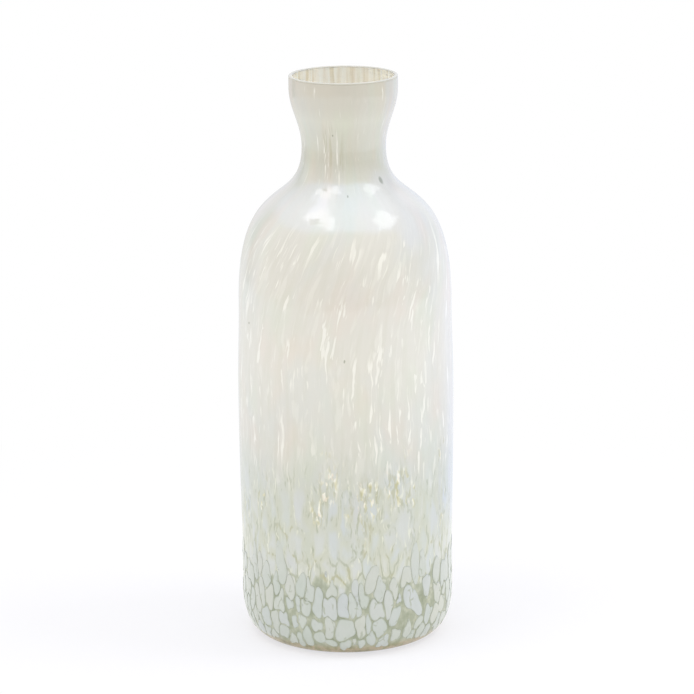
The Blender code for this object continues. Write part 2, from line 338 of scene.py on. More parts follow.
def make_glass(outline, materials):
    """The clear wall with its rounded lip, flat resting ring and shallow push-up."""
    outer_lip = MOUTH_RADIUS - LIP_DEPTH
    inner_lip = MOUTH_RADIUS - MOUTH_INNER_DEPTH
    depth_at = eased_depth(BARE_GLASS_DEPTH, COVERED_GLASS_DEPTH, GLASS_DROPS_Z)
    outer = outline.sheet(0, HEIGHT - BARE_LIP, depth_at, GLASS_STEPS)
    inner_top = HEIGHT - LIP_INNER_ROUNDING[1]
    inner = wall_side(BODY_INNER_DEPTH, NECK_INNER_DEPTH, MOUTH_INNER_DEPTH, FLOOR_Z, inner_top)[:-1]
    lip = rounding(Vector((inner_lip, HEIGHT)), LIP_INNER_ROUNDING, math.pi)
    lip += rounding(Vector((outer_lip, HEIGHT)), LIP_OUTER_ROUNDING, math.pi / 2)
    lip.append(Vector((outer_lip, HEIGHT - BARE_LIP + LIP_FOOT_RISE)))
    rest_inner = REST_RADIUS - REST_WIDTH
    under = []
    floor = []
    for step in range(SMALL_STEPS):
        share = step / SMALL_STEPS
        slope = math.pi / 2 * share
        under.append(Vector((rest_inner * (1 - share), PUSH_UP * math.sin(slope))))
        floor.append(Vector((REST_RADIUS * share, FLOOR_Z + PUSH_UP * math.cos(slope) ** 2)))
    outer[0].y = 0
    section = floor + inner + lip + outer[::-1] + under + [Vector((0, PUSH_UP))]
    glass = turned("vase_glass", section[::-1], False, materials)
    count = len(section) - 3
    first_inside = count - len(floor) - len(inner)
    for number, face in enumerate(glass.data.polygons):
        face.material_index = int(number < count * TURNED_STEPS and number % count >= first_inside)
    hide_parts("clear_glass_body")


def make_skin(outline, materials):
    """The milky sheet, which dips under the chips at its lower edge."""
    outer_depth = eased_depth(SKIN_UNDER_CHIPS_DEPTH, SKIN_TOP_DEPTH, SKIN_RISES_Z)
    top_z = HEIGHT - BARE_LIP
    outer = outline.sheet(SKIN_START_Z, top_z, outer_depth, SKIN_STEPS)
    inner = outline.sheet(SKIN_START_Z, top_z, lambda _: SKIN_INNER_DEPTH, SKIN_STEPS)
    skin = turned("milky_skin", outer + inner[::-1], True, materials)
    mark_places(skin)
    count = len(outer) + len(inner)
    for number, face in enumerate(skin.data.polygons):
        face.material_index = int(number % count >= len(outer) - 1)
    skin.data.set_sharp_from_angle(angle=SHARP_ANGLE)
    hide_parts("opal_frit_skin")


# Chips: each is the land nearest to its own seed, drawn in by half a gap

def rise_of(row_place):
    """Distance up the profile of a place among the rows."""
    grown = (ROW_GROWTH**row_place - 1) / (ROW_GROWTH - 1)
    return CHIPS_START_RISE + FIRST_ROW_HEIGHT * grown


def chip_seeds(drawn):
    """Seed points with the chip and row of each. Rows under and over the band only bound it."""
    points = []
    owners = []
    rows = []
    for row in range(-1, CHIP_ROWS + 1):
        for place in range(CHIPS_ROUND):
            shift = drawn.uniform(-CHIP_SCATTER, CHIP_SCATTER)
            most = TOP_SCATTER if row >= CHIP_ROWS - 1 else CHIP_SCATTER
            lift = drawn.uniform(-most, most)
            joined = place > 0 and 0 <= row < CHIP_ROWS and drawn.random() < JOINED_CHIPS
            points.append((place + row % 2 / 2 + shift, row + 0.5 + lift))
            owners.append(owners[-1] if joined and owners[-1] == len(owners) - 1 else len(owners))
            rows.append(row)
    return np.array(points), np.array(owners), rows


def wobbled(points):
    """Bends the plane a little, so that chips have curved sides."""
    turn = points[:, 0] * math.tau / CHIPS_ROUND
    shifts = []
    for waves in (SIDE_WAVES, LIFT_WAVES):
        shifts.append(sum(most * np.sin(many * turn + climb * points[:, 1] + start)
                          for many, climb, start, most in waves))
    return points + CHIP_WOBBLE * np.stack(shifts, axis=1)


def chip_reach(centre, owner, points, owners):
    """How far the chip reaches from its centre in each direction, in units."""
    away = points - centre
    away[:, 0] -= CHIPS_ROUND * np.round(away[:, 0] / CHIPS_ROUND)
    near = np.linalg.norm(away, axis=1) < NEIGHBOUR_REACH
    close = centre + away[near]
    distances = np.arange(REACH_STEP, REACH_LIMIT, REACH_STEP)
    samples = centre + CHIP_WAYS[:, None, :] * distances[None, :, None]
    flat = wobbled(samples.reshape(-1, 2))
    gaps = np.linalg.norm(flat[:, None, :] - close[None, :, :], axis=2)
    owned = (owners[near][gaps.argmin(axis=1)] == owner).reshape(CHIP_DIRECTIONS, -1)
    return np.cumprod(owned, axis=1).sum(axis=1) * REACH_STEP


def rounded(reach):
    """Evens each reach with its neighbours, which rounds the chip's corners."""
    for _ in range(CORNER_PASSES):
        reach = (np.roll(reach, 1) + 2 * reach + np.roll(reach, -1)) / 4
    return reach


def gap_swing(drawn):
    """How the gap round a chip widens and closes with the direction."""
    swing = np.ones(CHIP_DIRECTIONS)
    for waves, most in GAP_SWINGS:
        swing += most * np.sin(waves * CHIP_ANGLES + drawn.uniform(0, math.tau))
    return np.maximum(swing, LEAST_SWING)


def on_vase(outline, flat, depth):
    """Points of the chips' plane laid on the vase."""
    radius, z = outline.at(rise_of(flat[:, 1]), depth)
    angle = flat[:, 0] * math.tau / CHIPS_ROUND
    return np.stack([radius * np.cos(angle), radius * np.sin(angle), z], axis=1)


def chip_rings(outline, centre, reach, spans):
    """A chip's rings of points with their nearness to the top, and then the middles of its two ends."""
    edge = CHIP_EDGE_WIDTH / spans
    rings = []
    for share, edges, depth, inner in CHIP_SECTION:
        reaches = np.maximum(reach * share - edge * edges, reach * LEAST_RING)
        rings.append((on_vase(outline, centre + CHIP_WAYS * reaches[:, None], depth), inner))
    for _, _, depth, inner in (CHIP_SECTION[0], CHIP_SECTION[-1]):
        rings.append((on_vase(outline, centre[None, :], depth), inner))
    return rings


def chip_faces(first):
    """Faces between a chip's rings, and a fan over each end."""
    last = first + (len(CHIP_SECTION) - 1) * CHIP_DIRECTIONS
    around = [(i, (i + 1) % CHIP_DIRECTIONS) for i in range(CHIP_DIRECTIONS)]
    faces = []
    for low in range(first, last, CHIP_DIRECTIONS):
        high = low + CHIP_DIRECTIONS
        faces += [(low + i, low + after, high + after, high + i) for i, after in around]
    middle = last + CHIP_DIRECTIONS
    faces += [(first + after, first + i, middle) for i, after in around]
    return faces + [(last + i, last + after, middle + 1) for i, after in around]


def bareness(centre):
    """One in the middle of a bare spot, down to nothing at its edge."""
    most = 0
    for azimuth, rise, reach in BARE_SPOTS:
        turn = (centre[0] / CHIPS_ROUND * 360 + 90 - azimuth + 180) % 360 - 180
        across = math.radians(turn) * SIDE_RADIUS
        most = max(most, 1 - math.hypot(across, rise_of(centre[1]) - rise) / reach)
    return most


def make_chips(outline, finish):
    """Every chip as a closed solid of its own, all in one piece."""
    drawn = random.Random(SEED)
    points, owners, rows = chip_seeds(drawn)
    vertices = []
    faces = []
    tones = []
    inner = []
    for owner in sorted(set(owners)):
        if not 0 <= rows[owner] < CHIP_ROWS:
            continue
        centre = points[owners == owner].mean(axis=0)
        reach = chip_reach(centre, owner, points, owners)
        width = math.tau * SIDE_RADIUS / CHIPS_ROUND
        height = FIRST_ROW_HEIGHT * ROW_GROWTH ** rows[owner]
        share = min(max(centre[1] / CHIP_ROWS, 0), 1)
        gap = CHIP_GAPS[0] + (CHIP_GAPS[1] - CHIP_GAPS[0]) * share
        gap = gap * drawn.uniform(*GAP_SPREAD) * gap_swing(drawn)
        size = drawn.uniform(*SHRUNKEN_SIZES) if drawn.random() < SHRUNKEN_CHIPS * (1 - share) else 1
        size *= 1 - BARE_SHRINKING * bareness(centre)
        spans = np.hypot(*(CHIP_WAYS * (width, height)).T)
        reach = np.maximum(rounded(reach) * size - gap / 2 / spans, LEAST_REACH)
        tone = drawn.random()
        faces += chip_faces(len(vertices))
        for ring, nearness in chip_rings(outline, centre, reach, spans):
            vertices += [tuple(p) for p in ring]
            tones += [tone] * len(ring)
            inner += [nearness] * len(ring)
    chips = add_mesh("heel_chips", vertices, faces, [finish])
    for name, values in (("tone", tones), ("inner", inner)):
        attribute = chips.data.attributes.new(name, "FLOAT", "POINT")
        attribute.data.foreach_set("value", values)
    mark_places(chips)
    nodes = [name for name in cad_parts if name.startswith("frit_chip_")]
    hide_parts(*nodes)


# Shader graphs

class Graph:
    """Adds nodes to a material or a world and hands back their outputs."""

    def __init__(self, owner):
        owner.use_nodes = True
        self.tree = owner.node_tree

    def feed(self, made, inputs):
        """Sets a node's inputs, or links them to what other nodes put out."""
        for socket, value in inputs.items():
            if isinstance(value, bpy.types.NodeSocket):
                self.tree.links.new(value, made.inputs[socket])
            else:
                made.inputs[socket].default_value = value

    def node(self, kind, inputs, **settings):
        made = self.tree.nodes.new(kind)
        for name, value in settings.items():
            setattr(made, name, value)
        self.feed(made, inputs)
        return made

    def math(self, operation, *values):
        """Takes the first two values together, and what comes out with the next."""
        made = self.node("ShaderNodeMath", dict(enumerate(values[:2])), operation=operation).outputs[0]
        return self.math(operation, made, *values[2:]) if len(values) > 2 else made

    def product(self, *values):
        return self.math("MULTIPLY", *values)

    def most(self, *values):
        return self.math("MAXIMUM", *values)

    def vector(self, operation, *values):
        made = self.node("ShaderNodeVectorMath", dict(enumerate(values)), operation=operation)
        return made.outputs["Value" if operation == "LENGTH" else "Vector"]

    def tall(self, vector, squash):
        """Presses a drawing's heights together, so that what is drawn comes out taller."""
        return self.vector("MULTIPLY", vector, (1, 1, squash))

    def step(self, value, low, high, start=0.0, end=1.0, kind="SMOOTHSTEP"):
        """Goes smoothly from start to end as value goes from low to high."""
        inputs = {"Value": value, "From Min": low, "From Max": high, "To Min": start, "To Max": end}
        return self.node("ShaderNodeMapRange", inputs, interpolation_type=kind).outputs[0]

    def step_evenly(self, value, low, high, start=0.0, end=1.0):
        return self.step(value, low, high, start, end, "LINEAR")

    def between(self, value, band):
        """One inside a band, given by what its two ends do."""
        return self.product(*(self.step(value, *end) for end in band))

    def noise(self, place, squash, scale, detail, output="Fac"):
        """A noise whose shapes stand tall where the squash isn't 1."""
        place = place if squash == 1 else self.tall(place, squash)
        inputs = {"Vector": place, "Scale": scale, "Detail": detail, "Roughness": NOISE_ROUGHNESS}
        return self.node("ShaderNodeTexNoise", inputs).outputs[output]

    def clouds(self, place, squash, scale, detail, *band):
        return self.step(self.noise(place, squash, scale, detail), *band)

    def cells(self, vector, width, feature="DISTANCE_TO_EDGE"):
        inputs = {"Vector": vector, "Scale": 1 / width}
        return self.node("ShaderNodeTexVoronoi", inputs, feature=feature).outputs

    def mix(self, factor, below, above, blend="MIX"):
        """Lays one colour over another."""
        colours = {}
        for socket, value in ((6, below), (7, above)):
            colours[socket] = value if isinstance(value, bpy.types.NodeSocket) else (*value, 1)
        made = self.node("ShaderNodeMix", {"Factor": factor}, data_type="RGBA", blend_type=blend)
        self.feed(made, colours)
        return made.outputs[2]

    def ramp(self, value, stops):
        made = self.node("ShaderNodeValToRGB", {"Fac": value})
        elements = made.color_ramp.elements
        while len(elements) < len(stops):
            elements.new(1)
        for element, (place, colour) in zip(elements, stops):
            element.position = place
            element.color = (*colour, 1)
        return made.outputs["Color"]

    def parts(self, vector):
        return self.node("ShaderNodeSeparateXYZ", {"Vector": vector}).outputs

    def attribute(self, name, output="Fac"):
        return self.node("ShaderNodeAttribute", {}, attribute_name=name).outputs[output]

    def place(self, output="Object"):
        return self.node("ShaderNodeTexCoord", {}).outputs[output]

    def azimuth(self, east, north):
        return self.math("DEGREES", self.math("ARCTAN2", east, self.product(north, -1.0)))


def new_material(name, look):
    """A material whose shader takes what the look hands back."""
    material = bpy.data.materials.new(name)
    graph = Graph(material)
    graph.feed(graph.tree.nodes["Principled BSDF"], look(graph))
    return material


# Finishes. Colours are written as they look under plain light

# Skin colour up the height: its own tints, with painted shade in the darker bands low on the neck and under
# the rim, where the dim inside shows through
SKIN_TINTS_AND_SHADE = casts(
    (0.14, 202, 207, 190), (0.22, 209, 212, 199), (0.30, 214, 215, 203),
    (0.40, 223, 221, 210), (0.52, 230, 227, 216), (0.70, 228, 225, 215),
    (0.78, 224, 222, 214), (0.82, 218, 217, 208), (0.86, 209, 207, 192),
    (0.895, 215, 213, 198), (0.93, 221, 219, 204), (0.955, 214, 210, 196),
    (1.00, 210, 205, 191),
)
CELL_CASTS = casts(
    (0.00, 207, 213, 205), (0.30, 215, 217, 214), (0.50, 211, 214, 215),
    (0.70, 216, 217, 207), (0.88, 206, 213, 218), (1.00, 211, 215, 211),
)
# Painted highlights: colours of the golden and cream glints
GLINT_HIGHLIGHT_CASTS = casts(
    (0.36, 196, 193, 152), (0.46, 226, 221, 186), (0.56, 252, 251, 238),
    (0.68, 240, 226, 204),
)
STRIPES = casts(
    (0.30, 228, 212, 174), (0.45, 244, 232, 204), (0.55, 251, 242, 220),
    (0.66, 255, 250, 236),
)
# Bare glass at the heel: its own olive with painted shade seen through the thick glass
OLIVE_AND_SHADE_CASTS = casts(
    (0.34, 160, 166, 143), (0.44, 171, 177, 154), (0.54, 184, 188, 166),
    (0.63, 200, 203, 183), (0.72, 188, 187, 152),
)
# Foot ring: brown glass with painted shade of the floor contact seen through it
FOOT_RING_AND_SHADE_CASTS = casts(
    (0.34, 140, 128, 94), (0.45, 172, 163, 127), (0.55, 198, 180, 152),
    (0.68, 158, 156, 114),
)
CHIP_CASTS = casts(
    (0.00, 195, 202, 193), (0.25, 203, 207, 198), (0.50, 198, 204, 199),
    (0.72, 206, 208, 197), (0.90, 199, 205, 207), (1.00, 201, 206, 197),
)
CREAM = linear(250, 248, 238)
PALE_DASH = linear(234, 235, 218)
OLIVE_LINE = linear(176, 181, 158)
YELLOW_LINE = linear(184, 183, 148)
SOFT_OLIVE = linear(207, 209, 190)
NECK_SHADE = linear(194, 192, 166)
SPECK_COLOUR = linear(150, 153, 130)
CLEAR_GLASS = linear(246, 245, 236)
CLEAR_INSIDE = linear(247, 246, 237)
LIP_COLOUR = linear(210, 207, 193)
CHIP_BACK = linear(226, 229, 219)
UPPER_CHIP = linear(209, 212, 204)
CRACK_COLOUR = linear(172, 178, 158)
CHIP_RIM = linear(176, 184, 165)
UPPER_CHIP_RIM = linear(192, 197, 181)

# Tints that a colour is multiplied by
LUSTRE_TINTS = ((1.03, 0.98, 0.965), (0.975, 1.01, 0.975), (0.97, 0.995, 1.03))
DULL_SKIN = (0.95, 0.955, 0.93)
DULL_CHIP = (0.94, 0.955, 0.93)

# Glow painted on the inner faces for light that comes through the milky wall, as the inside shows it
WALL_DAYLIGHT = 0.09
HEEL_DAYLIGHT = 0.22
GLOW_DEPTH = 4 * MM

GLASS_GLOSS = {"Roughness": 0.035, "IOR": 1.5}
BACK_ROUGHNESS = 0.4
GLOSS_ROUGHNESS = (0.3, 0.7, 0.05, 0.09)
LUSTRE_IOR = 1.8
WAVE_DEPTH = 0.6 * MM
WAVE_SHARE = 0.5

# Noises: how far heights are pressed, how fine, and how detailed
WAVE = (1, 55, 2)
RIPPLE = (0.4, 240, 2)
SWELL = (1, 130, 1)
STRIPE_NOISE = (0.08, 230, 4)
OLIVE_NOISE = (0.7, 200, 3)
RING_NOISE = (0.4, 140, 3)
GRAIN_NOISE = (0.5, 330, 1)
FOOT_NOISE = (0.4, 130, 2)
NOISE_ROUGHNESS = 0.55
NOISE_MIDDLE = (0.5, 0.5, 0.5)
SEED_WAY = (1, 0.7, 0.4)
LUSTRE_SEED = 0.31
YELLOW_SEED = 3.9
FOOT_SEED = 2.9
GRAIN_SEED = 6.3
LUSTRE_SQUASH = 0.55
BEND_SQUASH = 0.45
CRACK_SQUASH = 0.6
PATCH_SQUASH = 0.5
PATCH_DETAIL = 1.5

# Noises with where they start and are full, and the shares there if not 0 and 1
LUSTRE_CLOUDS = (1, 42, 2, 0.5, 0.68)
SKIN_CLOUDS = (0.11, 330, 4, 0.36, 0.56, 0.6, 0)
CHIP_CLOUDS = (0.45, 420, 3, 0.32, 0.60, 0.6, 0)
YELLOW_CLOUDS = (1, 120, 1, 0.46, 0.62)
STRIPE_GLOW = (0.34, 0.56, 0.7, 1)
FOOT_UNEVEN = (0.3, 0.7, -6 * MM, 6 * MM)

# How strongly each marking shows
SKIN_LUSTRE = 0.8
STREAK_SHARE = 0.85
SMALL_SHARE = 0.9
FAINT_SHARE = 0.28
CELL_SHARE = 0.8
SOFT_LINE_SHARE = 0.85
DASH_SHARE = 0.7
BEHIND_SHARE = 0.6
NECK_SHARE = 0.75
SHADE_SHARE = 0.6
SPECK_SHARE = 0.7
CRACK_SHARE = 0.8
RIPPLE_SHARE = 0.12

# Lines between cells, by the distance to the edge in shares of a cell
SOFT_LINE = (0.34, 0.08)
DRAWN_LINE = (0.085, 0.015)
BETWEEN_CELLS = (0.30, 0.10, 0.12, 1)
BACK_LINE = (0.14, 0.02)
CRACK_LINE = (0.07, 0.015)
CELL_WIDTH = 6.4 * MM
CRACK_SPACING = 5.5 * MM
CELLS_START_Z = 40 * MM
CELL_SQUASH = 0.50
CELL_SQUASH_LOSS = 2.7

# Bands of height: where each starts and is full, and the shares there if not 0 and 1
STREAK_BAND = ((0.072, 0.118, 0.06, 1), (0.226, 0.205))
GLINT_BAND = ((0.048, 0.066), (0.118, 0.092))
NECK_BAND = ((0.232, 0.242), (0.2885, 0.285))
DULL_ENDS = (0.20, 0.235, 1, 0.3)
CELLS_END = (0.112, 0.074)
LINES_END = (0.104, 0.050, 0, 0.9)
WHOLE_LINES_END = (0.064, 0.046)
LINES_TEAR = (0.054, 0.044)
DASHES_END = (0.112, 0.084)
OLIVE_ENDS = (0.0395, 0.0365)
LUMPS_START = (0.222, 0.240, 0.22, 0.5)
DAYLIGHT_ENDS = (0.25, 0.20, 0, WALL_DAYLIGHT)
RING_ENDS = (7.5 * MM, 3 * MM)
INSIDE_CLEARS = (0.047, 0.063)
INSIDE_PASSES = (0.05, 0.96)
COLOUR_CLEARS = (0.10, 0.20)
GLASS_CLEARS = (0.06, 0.16, 0.12, 0.96)
RIM_ENDS = (0, 0.9, 1, 0)
LIP_SIDE_STARTS = (HEIGHT - 1.3 * MM, HEIGHT - 0.9 * MM)
LIP_TOP_STARTS = (HEIGHT - 0.6 * MM, HEIGHT - 0.3 * MM)
LIP_RADII = (MOUTH_RADIUS - 1.2 * MM, MOUTH_RADIUS - 0.8 * MM)

# The same as shares of the vase's height
CHIPS_WARM = (0.11, 0.18, 0, 0.6)
RIMS_FADE = (0.13, 0.18, 0.85, 0.5)

# Slow bends of a drawing: how fine, and how far they carry it
STREAK_BEND = (95, 0.007)
CELL_BEND = (150, 0.005)
LINE_BEND = (400, 0.0014)
NECK_BEND = (140, 0.004)
STRIPE_BEND = (120, 0.003)
BACK_BEND = (150, 0.004)
CRACK_BEND = (300, 0.0022)

# Marks that stand upright: width, length, where the noise's crests start and are full, and its seed
BRIGHT_STREAKS = (0.0027, 0.031, 0.59, 0.65, 0.6)
SMALL_STREAKS = (0.0021, 0.019, 0.595, 0.655, 0.9)
FAINT_STREAKS = (0.0028, 0.022, 0.57, 0.68, 1.7)
TORN_LINES = (0.0017, 0.011, 0.42, 0.56, 3.3)
DARK_DASHES = (0.0016, 0.012, 0.58, 0.70, 9.2)
PALE_DASHES = (0.0015, 0.010, 0.61, 0.70, 9.9)
GLINTS = (0.0024, 0.0072, 0.54, 0.63, 5.0)
BEHIND_GLINTS = (0.0020, 0.010, 0.50, 0.62, 5.3)
NECK_MARKS = (0.0019, 0.017, 0.60, 0.68, 7.0)
NECK_SHADES = (0.0034, 0.022, 0.50, 0.62, 8.8)

# Patches that let marks show: how fine, where they start and are full, share between them, and seed
BRIGHT_PATCHES = (62, 0.40, 0.55, 0.06, 2.0)
SMALL_PATCHES = (95, 0.46, 0.62, 0.04, 2.6)
SOFT_LINE_PATCHES = (90, 0.36, 0.60, 0.35, 4.7)
WHOLE_LINE_PATCHES = (260, 0.44, 0.58, 0.0, 4.0)
GLINT_PATCHES = (60, 0.52, 0.66, 0.0, 5.6)
NECK_PATCHES = (75, 0.50, 0.64, 0.0, 7.7)
CRACK_PATCHES = (230, 0.55, 0.63, 0, 8.1)
RIM_BREAK_PATCHES = (190, 0.40, 0.60, 0.3, 3.1)

# Spots: degrees round from the front, height and reach, and for specks flatness. Shapes: flatness and core
CLUSTER_SHAPE = (0.6, 0.3)
NECK_SHAPE = (1.0, 0.4)
SPECK_CORE = 0.4
GLINT_CLUSTERS = (
    (-15.0, 78 * MM, 6.5 * MM), (12.0, 84 * MM, 9.5 * MM), (10.0, 70 * MM, 5.0 * MM),
    (30.0, 83 * MM, 6.0 * MM), (2.0, 79 * MM, 4.5 * MM), (108.0, 80 * MM, 8.0 * MM),
    (-121.0, 76 * MM, 7.5 * MM), (172.0, 86 * MM, 7.0 * MM),
)
NECK_CLUSTER = (-16.0, 251 * MM, 22 * MM)
SPECKS = (
    (-63.0, 168.5 * MM, 0.9 * MM, 1.0),
    (48.0, 239.3 * MM, 3.5 * MM, 1.5),
    (3.5, 233.8 * MM, 1.0 * MM, 1.3),
    (-0.6, 155.8 * MM, 0.6 * MM, 0.5),
    (-14.0, 263 * MM, 1.3 * MM, 1.8),
)


def coloured_patches(graph, place, colour, strength):
    """Large faint patches of pink, green and blue, as the lustre of such glass shows."""
    drum = graph.tall(place, LUSTRE_SQUASH)
    for number, tint in enumerate(LUSTRE_TINTS):
        patch = graph.clouds(moved(graph, drum, LUSTRE_SEED * number), *LUSTRE_CLOUDS, 0, strength)
        colour = graph.mix(patch, colour, tint, "MULTIPLY")
    return colour


def moved(graph, place, seed):
    """Another cut through the same noise."""
    return graph.vector("ADD", place, tuple(seed * way for way in SEED_WAY))


def bent(graph, place, scale, amount):
    """Carries the drawing about by a slow noise, so that its lines kink and fork."""
    bend = graph.noise(place, BEND_SQUASH, scale, 2, "Color")
    centred = graph.vector("SUBTRACT", bend, NOISE_MIDDLE)
    return graph.vector("ADD", place, graph.vector("MULTIPLY", centred, (amount,) * 3))


def flecks(graph, place, width, length, low, high, seed):
    """Long irregular marks: the crests of a noise that is stretched upwards."""
    return graph.clouds(moved(graph, place, seed), width / length, 1 / width, 2, low, high)


def patches(graph, place, scale, low, high, least, seed):
    """A slow noise that is mostly 1 and falls to a least value in places."""
    return graph.clouds(moved(graph, place, seed), PATCH_SQUASH, scale, PATCH_DETAIL, low, high, least, 1)


def near_spot(graph, place, spot, flatness, core, strength=1.0):
    """The strength in the core of a spot, down to nothing at its reach."""
    azimuth, height, reach = spot
    turn = math.radians(azimuth) - twist_at(height)
    middle = SIDE_RADIUS * math.sin(turn), -SIDE_RADIUS * math.cos(turn), height
    away = graph.tall(graph.vector("SUBTRACT", place, middle), flatness)
    return graph.step(graph.vector("LENGTH", away), reach, reach * core, 0, strength)


def skin_look(graph):
    place = graph.attribute("place", "Vector")
    z = graph.parts(place)[2]
    # Colour up the height, with painted shade in the bands low on the neck and under the rim
    colour = graph.ramp(graph.math("DIVIDE", z, HEIGHT), SKIN_TINTS_AND_SHADE)
    colour = coloured_patches(graph, place, colour, SKIN_LUSTRE)
    colour = low_cells(graph, place, z, colour)
    colour = painted_backlight_streaks(graph, place, z, colour)
    colour = neck_marks(graph, place, z, colour)
    for *spot, flatness in SPECKS:
        speck = near_spot(graph, place, spot, flatness, SPECK_CORE, SPECK_SHARE)
        colour = graph.mix(speck, colour, SPECK_COLOUR)
    return {"Base Color": colour, **gloss(graph, place)}


def painted_backlight_streaks(graph, place, z, colour):
    """Cream streaks painted as light from behind shining through thin places in the frit, bright among many
    that are faint.
    """
    warped = bent(graph, place, *STREAK_BEND)
    dull = graph.product(graph.clouds(place, *SKIN_CLOUDS), graph.step(z, *DULL_ENDS))
    colour = graph.mix(dull, colour, DULL_SKIN, "MULTIPLY")
    bright = graph.product(flecks(graph, warped, *BRIGHT_STREAKS), patches(graph, place, *BRIGHT_PATCHES))
    small = graph.product(flecks(graph, warped, *SMALL_STREAKS), patches(graph, place, *SMALL_PATCHES))
    small = graph.product(small, SMALL_SHARE)
    faint = graph.product(flecks(graph, warped, *FAINT_STREAKS), FAINT_SHARE)
    streaks = graph.product(graph.most(bright, small, faint), graph.between(z, STREAK_BAND), STREAK_SHARE)
    # Painted light: the streaks are mixed in as bright cream
    return graph.mix(streaks, colour, CREAM)


def squashed(graph, place):
    """The drum pressed down, more with height, so that round cells on it come out as tall columns."""
    across, along, up = graph.parts(place)
    above = graph.math("SUBTRACT", up, CELLS_START_Z)
    loss = graph.product(above, above, CELL_SQUASH_LOSS)
    pressed = graph.math("SUBTRACT", graph.product(above, CELL_SQUASH), loss)
    return graph.node("ShaderNodeCombineXYZ", {0: across, 1: along, 2: pressed}).outputs[0]


def low_cells(graph, place, z, colour):
    """Where the frit only just ran together: pale cells, with broken lines and painted glints between them.
    """
    warped = bent(graph, place, *CELL_BEND)
    drum = squashed(graph, warped)
    edge = graph.cells(drum, CELL_WIDTH)["Distance"]
    rough_edge = graph.cells(squashed(graph, bent(graph, warped, *LINE_BEND)), CELL_WIDTH)["Distance"]
    number = graph.parts(graph.cells(drum, CELL_WIDTH, "F1")["Color"])[0]
    zone = graph.step(z, *CELLS_END)
    colour = graph.mix(graph.product(zone, CELL_SHARE), colour, graph.ramp(number, CELL_CASTS))
    soft = graph.product(graph.step(edge, *SOFT_LINE), patches(graph, place, *SOFT_LINE_PATCHES), zone)
    colour = graph.mix(graph.product(soft, SOFT_LINE_SHARE), colour, SOFT_OLIVE)
    whole = graph.most(patches(graph, place, *WHOLE_LINE_PATCHES), graph.step(z, *WHOLE_LINES_END))
    torn = graph.most(flecks(graph, warped, *TORN_LINES), graph.step(z, *LINES_TEAR))
    line = graph.product(graph.step(rough_edge, *DRAWN_LINE), whole, torn, graph.step(z, *LINES_END))
    yellow = graph.clouds(moved(graph, place, YELLOW_SEED), *YELLOW_CLOUDS)
    colour = graph.mix(line, colour, graph.mix(yellow, OLIVE_LINE, YELLOW_LINE))
    dashed = graph.product(graph.step(z, *DASHES_END), graph.step(edge, *BETWEEN_CELLS), DASH_SHARE)
    for marks, tint in ((DARK_DASHES, OLIVE_LINE), (PALE_DASHES, PALE_DASH)):
        colour = graph.mix(graph.product(flecks(graph, warped, *marks), dashed), colour, tint)
    uneven = graph.noise(moved(graph, place, FOOT_SEED), *FOOT_NOISE)
    foot_z = graph.math("ADD", z, graph.step_evenly(uneven, *FOOT_UNEVEN))
    colour = graph.mix(graph.step(foot_z, *OLIVE_ENDS), colour, olive_glass_and_shade(graph, place))
    return painted_glints(graph, place, z, warped, colour)


def painted_glints(graph, place, z, warped, colour):
    """Golden and cream glints painted into the colour as highlights, scattered thinly in a band and thickly
    in a few clusters.
    """
    where = patches(graph, place, *GLINT_PATCHES)
    for spot in GLINT_CLUSTERS:
        where = graph.most(where, near_spot(graph, place, spot, *CLUSTER_SHAPE))
    band = graph.between(z, GLINT_BAND)
    behind = graph.product(flecks(graph, warped, *BEHIND_GLINTS), where, band, BEHIND_SHARE)
    colour = graph.mix(behind, colour, YELLOW_LINE)
    grain = graph.noise(moved(graph, place, GRAIN_SEED), *GRAIN_NOISE)
    shown = graph.product(flecks(graph, warped, *GLINTS), where, band)
    return graph.mix(shown, colour, graph.ramp(grain, GLINT_HIGHLIGHT_CASTS))


def neck_marks(graph, place, z, colour):
    """A few short cream marks on the neck."""
    warped = bent(graph, place, *NECK_BEND)
    cluster = near_spot(graph, place, NECK_CLUSTER, *NECK_SHAPE)
    where = graph.most(patches(graph, place, *NECK_PATCHES), cluster)
    shade = graph.product(flecks(graph, warped, *NECK_SHADES), cluster, SHADE_SHARE)
    colour = graph.mix(shade, colour, NECK_SHADE)
    marks = graph.product(flecks(graph, warped, *NECK_MARKS), graph.between(z, NECK_BAND), where)
    return graph.mix(graph.product(marks, NECK_SHARE), colour, CREAM)


def gloss(graph, place):
    """A fire-polished surface: nearly mirror-smooth, with a slow waviness."""
    ripple = graph.noise(place, *RIPPLE)
    lumps = graph.product(graph.noise(place, *SWELL), graph.step(graph.parts(place)[2], *LUMPS_START))
    height = graph.math("ADD", graph.noise(place, *WAVE), graph.product(ripple, RIPPLE_SHARE), lumps)
    bump = graph.node("ShaderNodeBump", {"Height": height, "Strength": WAVE_SHARE, "Distance": WAVE_DEPTH})
    rough = graph.step(ripple, *GLOSS_ROUGHNESS)
    return {"Normal": bump.outputs["Normal"], "Roughness": rough, "IOR": LUSTRE_IOR}


def back_look(graph):
    """The skin's back, seen through the mouth: amber and cream stripes that let daylight through, and a
    painted glow lower down for daylight through the wall.
    """
    place = graph.attribute("place", "Vector")
    stripes = graph.noise(bent(graph, place, *STRIPE_BEND), *STRIPE_NOISE)
    colour = coloured_patches(graph, place, graph.ramp(stripes, STRIPES), 1)
    return {
        "Base Color": colour,
        "Roughness": BACK_ROUGHNESS,
        "Subsurface Weight": graph.step(stripes, *STRIPE_GLOW),
        "Subsurface Radius": (1, 1, 1),
        "Subsurface Scale": GLOW_DEPTH,
        # Painted glow standing in for daylight through the milky wall
        "Emission Color": colour,
        "Emission Strength": graph.step(graph.parts(place)[2], *DAYLIGHT_ENDS),
    }


